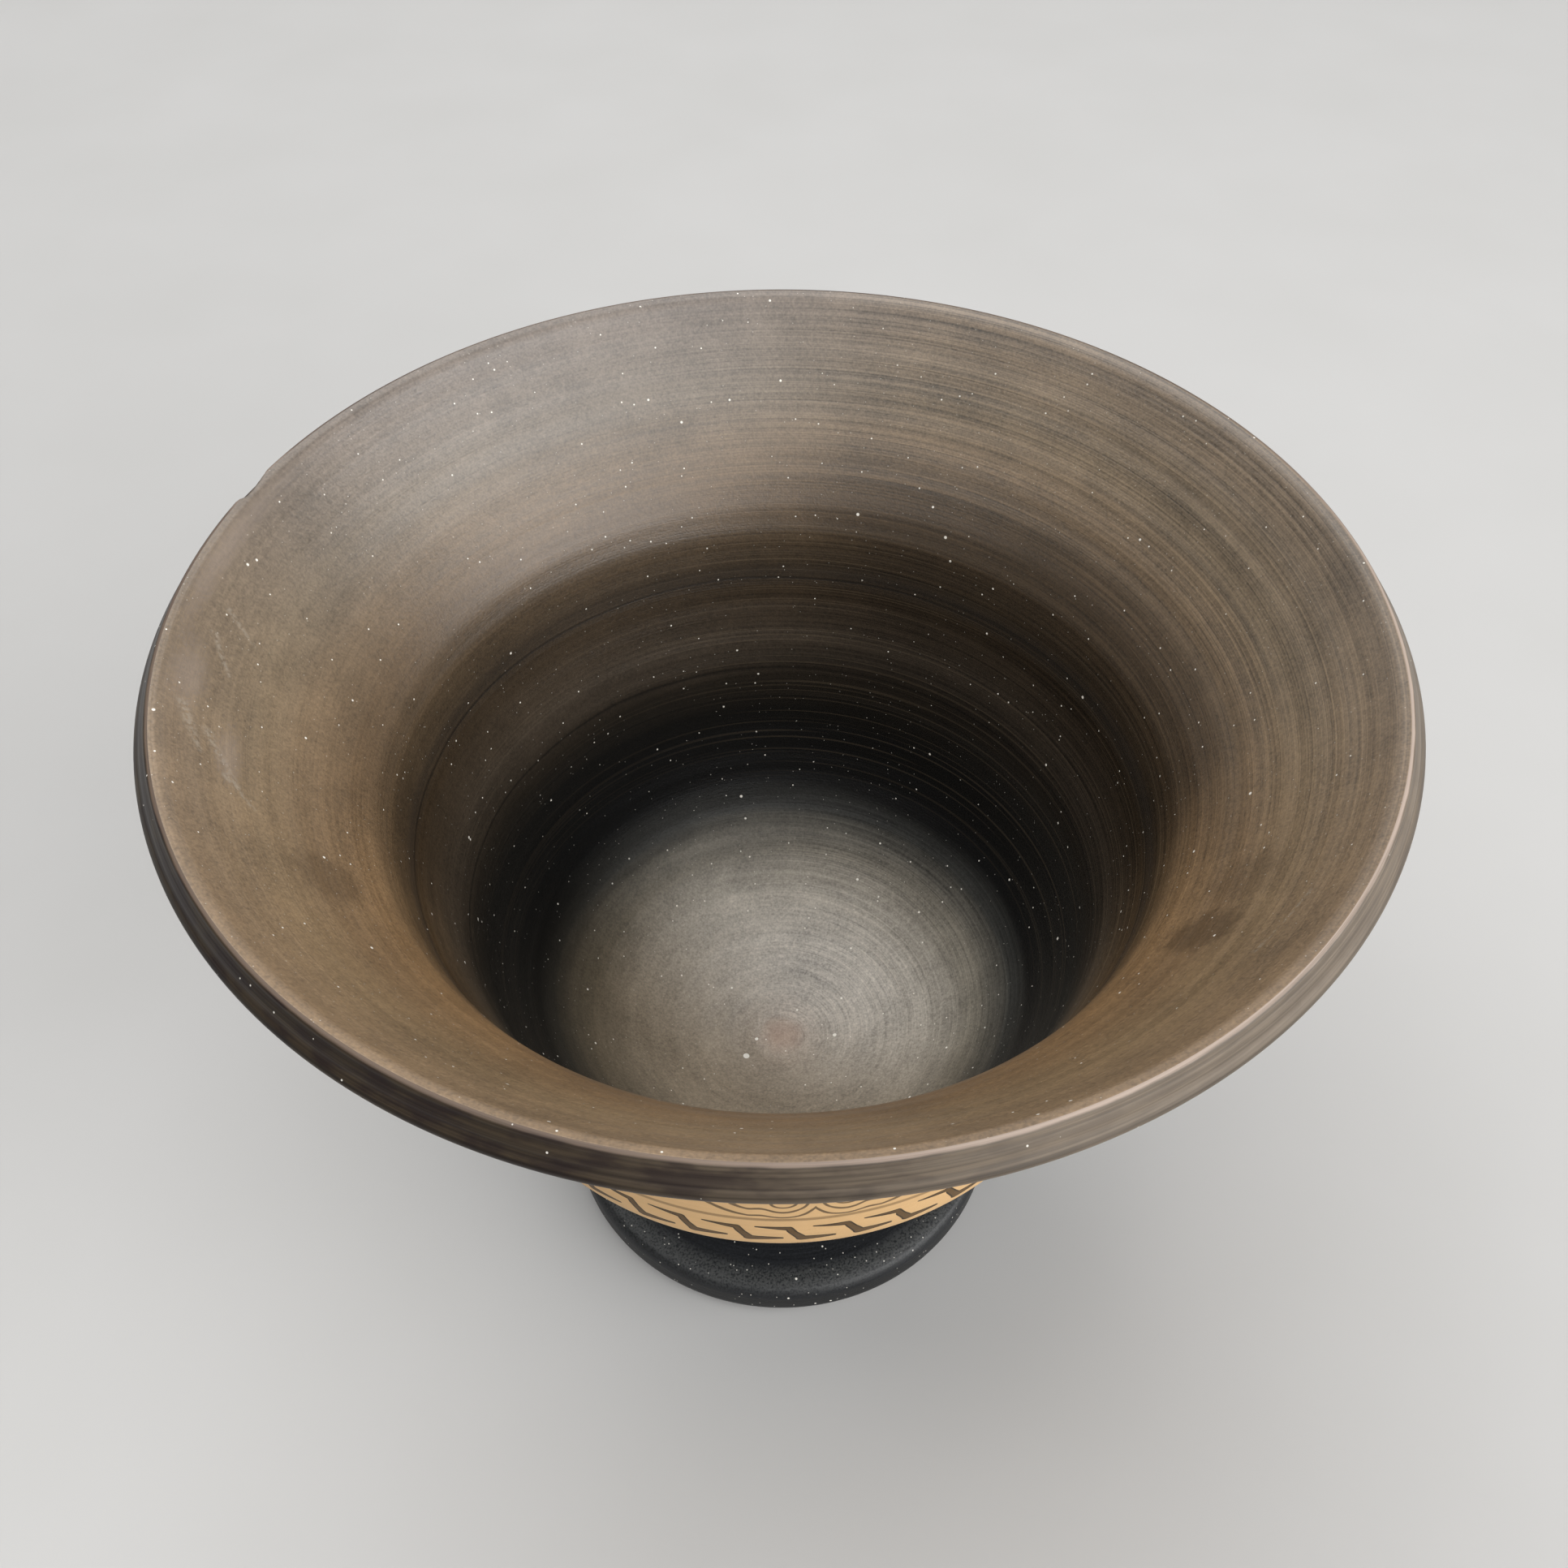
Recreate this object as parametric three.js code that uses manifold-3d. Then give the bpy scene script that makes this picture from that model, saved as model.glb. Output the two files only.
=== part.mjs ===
// Bell krater: a wheel-thrown mixing bowl with a wide flaring mouth, a short stem,
// a disc foot and two upturned loop handles, all one piece of fired clay.
// Millimetres, +Z up. The origin is the centre of the foot's underside and
// the handles point along +X and -X, so the front of the vessel faces -Y.

import * as THREE from "three";
import { mergeVertices } from "three/addons/utils/BufferGeometryUtils.js";
import Module from "manifold-3d";

// Driving dimensions
const RIDGE_RADIUS = 155;
const RIDGE_HEIGHT = 248;
const SEGMENTS = 72;

// Lip: a fine groove, a small rounded ridge and a low face that leans outwards
const RIDGE_ROUND = 2.6;
const RIDGE_CENTRE = RIDGE_RADIUS - 0.7;
const LIP_FACE_RADIUS = RIDGE_RADIUS + 4.5;
const LIP_FACE_FOOT = RIDGE_HEIGHT - 6.4;
const LIP_FOOT_ROUND = 1.2;
const UNDER_LIP = [RIDGE_RADIUS + 0.9, RIDGE_HEIGHT - 9];

// Inside of the bowl, from the edge of its flat centre up to the groove, each a
// station as radius and height
const FLOOR_HEIGHT = 54;
const BOWL = {
  floor: [9, FLOOR_HEIGHT],
  hollow: [40, 63.4],
  slope: [62, 79],
  turn: [78.5, 97.5],
  belly: [88.6, 118],
  waist: [93.4, 139],
  neck: [103, 166],
  throat: [111.7, 193],
  flare: [132.8, 221.5],
  groove: [RIDGE_RADIUS - 2.6, RIDGE_HEIGHT - 0.8],
};
const BOWL_STEPS = 16;

// Wall thickness, square to the inside: it grows evenly from the mouth to the floor
const WALL_AT_MOUTH = 7.4;
const WALL_AT_FLOOR = 13.2;

// Outside of the belly: upright along the painted border, then turning in below it
const BORDER_TOP = [101.1, 119.4];
const BORDER_FOOT = [98.6, 100.7];
const UNDERBODY = [86.5, 85];
const STEM = [37, 41];
const BODY_STEPS = 17;

// Foot: a cove that sweeps out to a disc with a rounded edge, hollowed underneath
const FOOT_RADIUS = 75;
const FOOT_HEIGHT = 15.6;
const FOOT_EDGE_ROUND = 5;
const FOOT_BASE_ROUND = 6;
const COVE_STATIONS = [STEM, [39.4, 28.6], [49, 19.8], [FOOT_RADIUS - FOOT_EDGE_ROUND, FOOT_HEIGHT]];
const COVE_STEPS = 6;
const HOLLOW_STATIONS = [[58, 0], [52, 5.5], [33, 17], [18.5, 31], [0, 34]];
const HOLLOW_STEPS = 6;

// Handles: round in section, rooted in the neck and curving up below the flare
const HANDLE_RADIUS = 6.4;
const HANDLE_STATIONS = [
  [94.6, 41, 144],
  [113, 44, 146.5],
  [134, 41.5, 161],
  [145.8, 21, 177],
];
const HANDLE_APEX = [148.5, 0, 180];
const HANDLE_SIDES = 10;
const HANDLE_STEPS = 20;

// Chip: a shallow flake lost from the lip, left of the back; its azimuth is counted
// from the front towards +X
const CHIP_AZIMUTH = 251.3;
const CHIP_LENGTH = 19;
const CHIP_DEPTH = 1.8;
const CHIP_WIDTH = 5.8;
const CHIP_HEIGHT = 9.4;
const CHIP_SIDES = 16;
const CHIP_RINGS = 10;

// Corners closer together than this are one corner
const MERGE_DISTANCE = 1e-4;

const manifold = await Module();
manifold.setup();

const radians = THREE.MathUtils.degToRad;
const vec2 = ([r, z]) => new THREE.Vector2(r, z);

// Points along a smooth curve through the stations, without its first point
function sweep(stations, steps) {
  return new THREE.SplineCurve(stations.map(vec2)).getPoints(steps).slice(1);
}

// A round corner about a centre, from one angle to another
function corner([r, z], radius, fromDegrees, toDegrees, steps) {
  const points = [];
  for (let i = 0; i <= steps; i += 1) {
    const angle = radians(fromDegrees + ((toDegrees - fromDegrees) * i) / steps);
    points.push(new THREE.Vector2(r + radius * Math.cos(angle), z + radius * Math.sin(angle)));
  }
  return points;
}

// The point on the outside of the wall that lies square to a station of the bowl
function outsideOf(name) {
  const names = Object.keys(BOWL);
  const share = names.indexOf(name) / (names.length - 1);
  const along = new THREE.SplineCurve(Object.values(BOWL).map(vec2)).getTangent(share);
  const thickness = WALL_AT_FLOOR + (WALL_AT_MOUTH - WALL_AT_FLOOR) * share;
  const [r, z] = BOWL[name];
  return [r + thickness * along.y, z - thickness * along.x];
}

// The closed profile, worked out from the bottom of the bowl up the inside, over the
// lip, down the outside, round the foot and back to the axis under the foot, and
// then turned end for end, so that the lathe's faces point out of the clay
function kraterProfile() {
  const outside = [
    UNDER_LIP,
    ...["flare", "throat", "neck", "waist"].map(outsideOf),
    BORDER_TOP,
    BORDER_FOOT,
    UNDERBODY,
    ...["slope", "hollow"].map(outsideOf),
    STEM,
  ];
  const lipFootCentre = LIP_FACE_RADIUS - LIP_FOOT_ROUND;
  const edgeCentre = [FOOT_RADIUS - FOOT_EDGE_ROUND, FOOT_HEIGHT - FOOT_EDGE_ROUND];

  return [
    new THREE.Vector2(0, FLOOR_HEIGHT),
    vec2(BOWL.floor),
    ...sweep(Object.values(BOWL), BOWL_STEPS),
    ...corner([RIDGE_CENTRE, RIDGE_HEIGHT - RIDGE_ROUND], RIDGE_ROUND, 90, 20, 2),
    ...corner([lipFootCentre, LIP_FACE_FOOT], LIP_FOOT_ROUND, 35, -70, 3),
    vec2(UNDER_LIP),
    ...sweep(outside, BODY_STEPS),
    ...sweep(COVE_STATIONS, COVE_STEPS),
    ...corner(edgeCentre, FOOT_EDGE_ROUND, 55, 0, 2),
    ...corner([FOOT_RADIUS - FOOT_BASE_ROUND, FOOT_BASE_ROUND], FOOT_BASE_ROUND, 0, -90, 3),
    vec2(HOLLOW_STATIONS[0]),
    ...sweep(HOLLOW_STATIONS, HOLLOW_STEPS),
  ].reverse();
}

// The path of one handle, from root to root; side is 1 for +X and -1 for -X
function handlePath(side) {
  const half = HANDLE_STATIONS.map(([x, y, z]) => new THREE.Vector3(side * x, side * y, z));
  const back = HANDLE_STATIONS.map(([x, y, z]) => new THREE.Vector3(side * x, -side * y, z));
  const [x, y, z] = HANDLE_APEX;
  return new THREE.CatmullRomCurve3([...half, new THREE.Vector3(side * x, y, z), ...back.reverse()]);
}

function handleGeometry(side) {
  const section = new THREE.Shape();
  for (let i = 0; i < HANDLE_SIDES; i += 1) {
    const angle = (2 * Math.PI * i) / HANDLE_SIDES;
    const x = HANDLE_RADIUS * Math.cos(angle);
    const y = HANDLE_RADIUS * Math.sin(angle);
    if (i === 0) section.moveTo(x, y);
    else section.lineTo(x, y);
  }
  return new THREE.ExtrudeGeometry(section, {
    steps: HANDLE_STEPS,
    bevelEnabled: false,
    extrudePath: handlePath(side),
  });
}

// A flat ellipsoid that takes the chip out of the lip's ridge
function chipGeometry() {
  const geometry = new THREE.SphereGeometry(1, CHIP_SIDES, CHIP_RINGS);
  geometry.scale(CHIP_WIDTH / 2, CHIP_LENGTH / 2, CHIP_HEIGHT / 2);
  geometry.translate(RIDGE_RADIUS + CHIP_DEPTH, 0, RIDGE_HEIGHT);
  geometry.rotateZ(radians(CHIP_AZIMUTH - 90));
  return geometry;
}

// A closed solid from a geometry, with its shared vertices merged and its slivers left out
function solid(geometry) {
  const plain = geometry.clone();
  plain.deleteAttribute("normal");
  plain.deleteAttribute("uv");
  const merged = mergeVertices(plain, MERGE_DISTANCE);
  const index = merged.index.array;
  const triangles = [];
  for (let i = 0; i < index.length; i += 3) {
    const [a, b, c] = [index[i], index[i + 1], index[i + 2]];
    if (a !== b && b !== c && c !== a) triangles.push(a, b, c);
  }
  const mesh = new manifold.Mesh({
    numProp: 3,
    vertProperties: Float32Array.from(merged.attributes.position.array),
    triVerts: Uint32Array.from(triangles),
  });
  return new manifold.Manifold(mesh);
}

function geometryOf(body) {
  const mesh = body.getMesh();
  const geometry = new THREE.BufferGeometry();
  geometry.setAttribute("position", new THREE.BufferAttribute(mesh.vertProperties, 3));
  geometry.setIndex(new THREE.BufferAttribute(mesh.triVerts, 1));
  geometry.computeVertexNormals();
  return geometry;
}

function makeKrater() {
  const lathe = new THREE.LatheGeometry(kraterProfile(), SEGMENTS);
  lathe.rotateX(Math.PI / 2);
  const body = solid(lathe)
    .add(solid(handleGeometry(1)))
    .add(solid(handleGeometry(-1)))
    .subtract(solid(chipGeometry()));
  const clay = new THREE.MeshStandardMaterial({ color: 0x2e2722, roughness: 0.42, metalness: 0 });
  const mesh = new THREE.Mesh(geometryOf(body), clay);
  mesh.name = "krater";
  return mesh;
}

const vessel = new THREE.Group();
vessel.add(makeKrater());

export default vessel;
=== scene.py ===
"""Bell krater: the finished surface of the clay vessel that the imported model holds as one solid.

Profiles and places are in millimetres and become metres where a mesh is made. Azimuths are in
degrees from the front (-Y) towards +X.
"""

from math import cos, pi, radians, sin, sqrt, tau

import bpy
import numpy as np
from mathutils import Matrix, Vector


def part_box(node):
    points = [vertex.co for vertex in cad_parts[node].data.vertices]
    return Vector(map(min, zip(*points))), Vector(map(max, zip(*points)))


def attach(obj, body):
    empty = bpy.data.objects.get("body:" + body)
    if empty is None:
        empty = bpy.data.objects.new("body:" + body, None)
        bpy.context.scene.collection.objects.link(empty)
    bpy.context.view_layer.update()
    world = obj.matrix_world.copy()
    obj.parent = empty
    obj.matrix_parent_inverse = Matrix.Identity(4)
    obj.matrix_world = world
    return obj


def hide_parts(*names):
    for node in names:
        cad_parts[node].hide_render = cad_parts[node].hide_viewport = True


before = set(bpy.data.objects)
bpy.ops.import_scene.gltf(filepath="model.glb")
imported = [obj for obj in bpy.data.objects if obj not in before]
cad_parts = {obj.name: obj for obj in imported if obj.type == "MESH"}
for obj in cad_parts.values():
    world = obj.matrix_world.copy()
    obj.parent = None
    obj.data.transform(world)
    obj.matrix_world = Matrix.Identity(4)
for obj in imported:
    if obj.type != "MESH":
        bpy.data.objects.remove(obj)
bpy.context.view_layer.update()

MM = 0.001

# Driving dimensions, from the solid's own box
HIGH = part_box("krater")[1]
RIDGE_HEIGHT = HIGH.z / MM
LIP_FACE_RADIUS = HIGH.x / MM
LIP_OVERHANG = 4.5
RIDGE_RADIUS = LIP_FACE_RADIUS - LIP_OVERHANG

# Lip: a fine groove, a small rounded ridge and a low face that leans outwards
RIDGE_ROUND = 1.5
RIDGE_CENTRE = (RIDGE_RADIUS - 0.5, RIDGE_HEIGHT - RIDGE_ROUND)
LIP_FOOT_ROUND = 1.2
LIP_FOOT_CENTRE = (LIP_FACE_RADIUS - LIP_FOOT_ROUND, RIDGE_HEIGHT - 6.4)
UNDER_LIP = (RIDGE_RADIUS + 0.9, RIDGE_HEIGHT - 9)

# Inside of the bowl, from the edge of its flat centre up to the groove
FLOOR_HEIGHT = 54
BOWL = {
    "floor": (9, FLOOR_HEIGHT),
    "hollow": (40, 63.4),
    "slope": (62, 79),
    "turn": (78.5, 97.5),
    "belly": (88.6, 118),
    "waist": (93.4, 139),
    "neck": (103, 166),
    "throat": (111.7, 193),
    "flare": (132.8, 221.5),
    "groove": (RIDGE_RADIUS - 2.6, RIDGE_HEIGHT - 0.8),
}
WALL_AT_MOUTH = 7.4
WALL_AT_FLOOR = 13.2

# Outside of the belly, foot and the hollow under it
BORDER_TOP = (101.1, 119.4)
BORDER_FOOT = (98.6, 100.7)
UNDERBODY = (86.5, 85)
STEM = (37, 41)
FOOT_RADIUS = 75
FOOT_HEIGHT = 15.6
FOOT_EDGE_ROUND = 5
FOOT_BASE_ROUND = 6
COVE = [STEM, (39.4, 28.6), (49, 19.8), (FOOT_RADIUS - FOOT_EDGE_ROUND, FOOT_HEIGHT)]
FOOT_HOLLOW = [(58, 0), (52, 5.5), (33, 17), (18.5, 31), (0, 34)]

# Handles: half of one, from its root in the neck to its top
HANDLE_RADIUS = 6.4
HANDLE_STATIONS = [(94.6, 41, 144), (113, 44, 146.5), (134, 41.5, 161), (145.8, 21, 177)]
HANDLE_APEX = (148.5, 0, 180)
HANDLE_SIDES = 32
HANDLE_STEPS = 120
ROOT_FLARE = 3.2
ROOT_REACH = 7
ROOT_SINK = 1.2

# Chip in the lip: steep at its front end, running out at its back end
CHIP_AZIMUTH = 251.3
CHIP_FRONT_LENGTH = 3.5
CHIP_BACK_LENGTH = 13
CHIP_DEPTH = 1.8
CHIP_HALF_WIDTH = 2.9
CHIP_HALF_HEIGHT = 4.7
CHIP_LEAN = (-0.8, -0.6)

# Bare clay that the chip shows: its middle, half its length in degrees and half its height
CHIP_BARE_AZIMUTH = CHIP_AZIMUTH - 2.4
CHIP_BARE_DEGREES = 6
CHIP_BARE_HEIGHT = 4.4

# Zones of the profile that belong to the inside
INSIDE = ("bowl", "throat", "flare")

# Fineness of the meshes, and how far apart points have to lie to count as two
AZIMUTHS = 288
CHIP_AZIMUTH_STEP = 0.4
CHIP_AZIMUTH_SPAN = 7
CENTRE_SPACING = 1.8
INSIDE_SPACING = 2.4
OUTSIDE_SPACING = 2.8
FOOT_EDGE_SPACING = 2
BASE_SPACING = 4
WALL_SPACING = 1
FINE_SPACING = 0.7
LEAST_SPACING = 1e-3
CURVE_STEPS = 60
HANDLE_CURVE_STEPS = 40

# Relief of the throwing and turning. A wave has a pitch, a height and its starts round the vessel,
# and a crease has a level and a depth
NECK_CREASE = 171
THROAT_TOP = 188
WAVES = [(9.5, 0.10, 1), (5.9, 0.05, 2)]
FLOOR_WAVE = (6.2, 0.14, 1)
FLOOR_WAVE_REACH = 60
CREASES = [(NECK_CREASE, 0.06), (140, 0.12), (129, 0.12)]
CREASE_WIDTH = 1.6
LIP_LINE_HEIGHT = (RIDGE_HEIGHT + LIP_FOOT_CENTRE[1] - 1.5) / 2
LIP_LINE_DEPTH = 0.22
LIP_LINE_WIDTH = 0.6

# The relief fades out over these distances, below the rim, above the foot and round the axis
RIM_FADE = 6
FOOT_FADE = 8
AXIS_FADE = 4

# Finger marks in the slip of the flare, as azimuth, height and strength
SMUDGES = [(54, 211, 0.52), (62, 215, 0.24), (-63, 211, 0.35)]
SMUDGE_RADIUS = 125
SMUDGE_HALF_LENGTH = 8.5
SMUDGE_HALF_HEIGHT = 9.5

# Pale dusty patches below the lip, as azimuth, height, and half their length in degrees and height
HAZE = [(-84, 242, 5, 4), (-101, 245, 11, 2.5), (-76, 231, 4, 3)]

# Light scratches in the flare, each from one azimuth and height to another, and half its width
SCUFFS = [
    ((-78, 236), (-72, 229), 1.2),
    ((-73, 232), (-70, 226), 0.9),
    ((-91, 239), (-87, 233), 0.8),
    ((-95, 238), (-93, 230), 0.7),
    ((-80, 242), (-75, 238), 1.3),
    ((48, 232), (56, 236), 0.6),
]
SCUFF_RADIUS = 138

# Grit in the slip of the inside, as the space to a grain, half a grain's width and its strength.
# The largest white grains in the floor have a place, as x and y, and half their width
GRIT = [(2.4, 0.2, 0.35), (5, 0.32, 1), (10, 0.48, 1), (21, 0.62, 1)]
FLOOR_SPECKS = [(-12.0, -8.6, 1.15), (-8.6, -0.7, 0.65), (18.2, -0.8, 0.7)]

# Azimuths in the middle of the inside's broad tones, among them a painted sheen and a painted shade, and of
# the painted lit side of the lip's face
PLAINEST_LINES = 125
SHEEN_BACK = 212
SHADED_RIGHT = 122
LIT_LIP = 55

# Painted decoration of the body, as heights
BORDER_BOTTOM = BORDER_FOOT[1]
BAND_LINE = BORDER_TOP[1]
PICTURE_TOP = 188
CLOSING_LINE = PICTURE_TOP - 4
BORDER_RADIUS = 101

# The border's brush strokes. Each has its ends, as millimetres round the belly and height, and
# half its width at both. A row's reach is a little more than how far its strokes begin before
# their own place, and a stroke strays by up to half of each shift
KEY_COUNT = 41
KEY_START = 2.46
KEY_ROWS = [
    (12.4, [((-11.4, 114.6), (-1.9, 113.8), 0.3, 1.05)]),
    (3.0, [((-1.9, 113.6), (1.5, 107.0), 1.2, 1.6), ((1.5, 106.8), (10.6, 107.2), 1.7, 0.6)]),
]
KEY_SHIFT_ROUND = 1.6
KEY_SHIFT_UP = 0.9

# The paired scrolls and the fan of leaves over them. The scrolls' eyes lie at both sides of a
# middle azimuth, and their outer turns are squeezed. The fan's foot lies above the eyes, and one
# leaf is a brush stroke's outline that points up from it
SCROLL_MIDDLE = 5.2
SCROLL_EYE_ACROSS = 9.2
SCROLL_EYE_HEIGHT = 130.6
SCROLL_EYE_RADIUS = 3.4
SCROLL_PITCH = 3.05
SCROLL_TURNS = 2
SCROLL_SQUEEZE = 0.58
FAN_ABOVE_EYES = 12
LEAF_ANGLE = radians(24)
LEAVES_EACH_SIDE = 4
LEAF = ((0, 9), (0, 25), 0.9, 3.0)

# Black panels behind the handles: half the width and the foot of their core, and the round by
# which they go past it at both sides and below
PANEL_HALF_WIDTH = 34
PANEL_FOOT = 148
PANEL_ROUND = 24

# The ring on the foot's edge, partly rubbed slip and partly painted highlight, as radii and heights, and the
# painted shade down the foot's side below it
RUB_AND_HIGHLIGHT_RADII = (66.5, 73.5)
RUB_AND_HIGHLIGHT_HEIGHTS = (12.5, 17.5)
FOOT_SIDE_SHADE = (12.5, 9.5)

# Camera, recovered from the rings of the lip, the border and the foot
CAMERA_PLACE = (0.00093, -0.29977, 0.51274)
CAMERA_PITCH = 47.69
CAMERA_YAW = 0.02
CAMERA_ROLL = -0.13
CAMERA_LENS = 36.06
CAMERA_SENSOR = 36
CAMERA_NEAR = 0.01

# Soft light panels, each an azimuth, an elevation, its width and height in metres and a radiance
LIGHTS = {
    "window": (60, 15, (5.0, 1.6), 3.9),
    "window_top": (42, 42, (4.4, 1.8), 2.25),
    "ceiling": (225, 72, (3.8, 3.6), 2.3),
    "front_fill": (325, 45, (2.8, 1.6), 0.95),
    "backdrop": (185, 18, (6.4, 1.8), 0.65),
}
LIGHT_DISTANCE = 3.2
LIGHT_AIM_HEIGHT = 0.2
BACKGROUND_COLOUR = (0.97, 0.98, 1.0, 1)
BACKGROUND_STRENGTH = 0.6
FLOOR_HALF = 2.4
FLOOR_COLOURS = ((0.57, 0.564, 0.55), (0.61, 0.604, 0.595))


# Profile

def cubic(start, end, leaving, arriving, steps):
    """Points on a cubic curve from start up to, but without, end, given its speed at both."""
    third = 2 * start - 2 * end + leaving + arriving
    second = -3 * start + 3 * end - 2 * leaving - arriving
    shares = np.linspace(0, 1, steps, endpoint=False)
    return [third * t**3 + second * t**2 + leaving * t + start for t in shares]


def spline(stations, spacing):
    """Points about spacing apart on a smooth curve through the stations."""
    p = np.array(stations, float)
    count = len(p)
    points = []
    for i in range(count - 1):
        a, b, c, d = p[max(i - 1, 0)], p[i], p[i + 1], p[min(i + 2, count - 1)]
        points += cubic(b, c, (c - a) / 2, (d - b) / 2, CURVE_STEPS)
    points.append(p[-1])
    return spread(np.array(points), spacing)


def spread(points, spacing):
    """The same line with its points an even distance apart."""
    lengths = np.concatenate([[0], np.cumsum(np.linalg.norm(np.diff(points, axis=0), axis=1))])
    steps = max(1, round(lengths[-1] / spacing))
    at = np.linspace(0, lengths[-1], steps + 1)
    return np.column_stack([np.interp(at, lengths, points[:, k]) for k in range(points.shape[1])])


def straight(start, end, spacing):
    """A straight line with its points about spacing apart."""
    return spread(np.array([start, end], float), spacing)


def corner(centre, radius, start, end, steps):
    """A round corner about a centre, from one angle to another."""
    angles = np.radians(np.linspace(start, end, steps + 1))
    return np.column_stack([centre[0] + radius * np.cos(angles), centre[1] + radius * np.sin(angles)])


def outside_of(name):
    """The point on the outside of the wall that lies square to a station of the bowl."""
    names = list(BOWL)
    i = names.index(name)
    share = i / (len(names) - 1)
    stations = np.array(list(BOWL.values()), float)
    along = stations[i + 1] - stations[i - 1]
    along /= np.linalg.norm(along)
    thickness = WALL_AT_FLOOR + (WALL_AT_MOUTH - WALL_AT_FLOOR) * share
    return stations[i] + thickness * np.array([along[1], -along[0]])


def neck_outside():
    """Stations down the outside, from under the lip to the top of the painted border."""
    between = [outside_of(name) for name in ("flare", "throat", "neck", "waist")]
    return [UNDER_LIP, *between, BORDER_TOP]


def krater_profile():
    """The closed profile as sections, each a zone's name and its points, from the bowl's centre
    up the inside, over the lip, down the outside, round the foot and back to the axis."""
    bowl = spline(list(BOWL.values()), INSIDE_SPACING)
    height = bowl[:, 1]
    lip_top = corner(RIDGE_CENTRE, RIDGE_ROUND, 90, 20, steps=10)
    lip_foot = corner(LIP_FOOT_CENTRE, LIP_FOOT_ROUND, 35, -70, steps=8)
    underside = [outside_of(name) for name in ("slope", "hollow")]
    outside = [*neck_outside(), BORDER_FOOT, UNDERBODY, *underside, STEM]
    edge_centre = (FOOT_RADIUS - FOOT_EDGE_ROUND, FOOT_HEIGHT - FOOT_EDGE_ROUND)
    edge_foot = (FOOT_RADIUS, edge_centre[1])
    base_centre = (FOOT_RADIUS - FOOT_BASE_ROUND, FOOT_BASE_ROUND)
    return [
        ("bowl", straight((0, FLOOR_HEIGHT), BOWL["floor"], CENTRE_SPACING)),
        ("bowl", bowl[height < NECK_CREASE]),
        ("throat", bowl[(height >= NECK_CREASE) & (height < THROAT_TOP)]),
        ("flare", bowl[height >= THROAT_TOP]),
        ("flare", straight(BOWL["groove"], lip_top[0], FINE_SPACING)),
        ("lip", lip_top),
        ("lip", straight(lip_top[-1], lip_foot[0], FINE_SPACING)),
        ("lip", lip_foot),
        ("lip", straight(lip_foot[-1], UNDER_LIP, FINE_SPACING)),
        ("outside", spline(outside, OUTSIDE_SPACING)),
        ("outside", spline(COVE, OUTSIDE_SPACING)),
        ("outside", corner(edge_centre, FOOT_EDGE_ROUND, 55, 0, steps=8)),
        ("outside", straight(edge_foot, (FOOT_RADIUS, FOOT_BASE_ROUND), FOOT_EDGE_SPACING)),
        ("outside", corner(base_centre, FOOT_BASE_ROUND, 0, -90, steps=10)),
        ("base", straight((base_centre[0], 0), FOOT_HOLLOW[0], BASE_SPACING)),
        ("base", spline(FOOT_HOLLOW, BASE_SPACING)),
    ]


def join_sections(sections):
    """All points in one line, each point's zone, and its distance along the profile."""
    points, zones = [], []
    for zone, section in sections:
        for point in section:
            if points and np.linalg.norm(point - points[-1]) < LEAST_SPACING:
                continue
            points.append(point)
            zones.append(zone)
    points = np.array(points)
    along = np.concatenate([[0], np.cumsum(np.linalg.norm(np.diff(points, axis=0), axis=1))])
    return points, zones, along


# Body

def ring_azimuths():
    """Even steps round the vessel, and finer ones across the chip."""
    even = np.arange(AZIMUTHS) * 360 / AZIMUTHS
    start, end = CHIP_AZIMUTH - CHIP_AZIMUTH_SPAN, CHIP_AZIMUTH + CHIP_AZIMUTH_SPAN
    fine = np.arange(start, end, CHIP_AZIMUTH_STEP)
    gap = CHIP_AZIMUTH_STEP / 2
    coarse = even[(even < fine[0] - gap) | (even > fine[-1] + gap)]
    return np.sort(np.concatenate([coarse, fine]))


def relief(points, zones, along, azimuth):
    """How far the turned surface stands out of the plain profile at one azimuth."""
    turn = azimuth / 360
    height = np.zeros(len(points))
    inside = np.array([zone in INSIDE for zone in zones])
    outside = np.array([zone == "outside" for zone in zones])
    for pitch, depth, starts in WAVES:
        height += depth * np.sin(tau * (along / pitch + starts * turn)) * (inside | outside)
    pitch, depth, starts = FLOOR_WAVE
    near_centre = np.clip(1 - points[:, 0] / FLOOR_WAVE_REACH, 0, 1)
    height += depth * np.sin(tau * (along / pitch - starts * turn)) * near_centre * inside
    for level, depth in CREASES:
        height -= depth * np.exp(-(((points[:, 1] - level) / CREASE_WIDTH) ** 2)) * inside
    fade_rim = np.clip((RIDGE_HEIGHT - points[:, 1]) / RIM_FADE, 0, 1)
    fade_foot = np.clip((points[:, 1] - FOOT_HEIGHT) / FOOT_FADE, 0, 1)
    fade_axis = np.clip(points[:, 0] / AXIS_FADE, 0, 1)
    return height * fade_rim * fade_foot * fade_axis


def lip_line(points, zones):
    """The turned line half way down the lip's face."""
    on_lip = np.array([zone == "lip" for zone in zones])
    on_face = on_lip & (points[:, 0] > RIDGE_RADIUS + 1)
    return -LIP_LINE_DEPTH * np.exp(-(((points[:, 1] - LIP_LINE_HEIGHT) / LIP_LINE_WIDTH) ** 2)) * on_face


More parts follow.
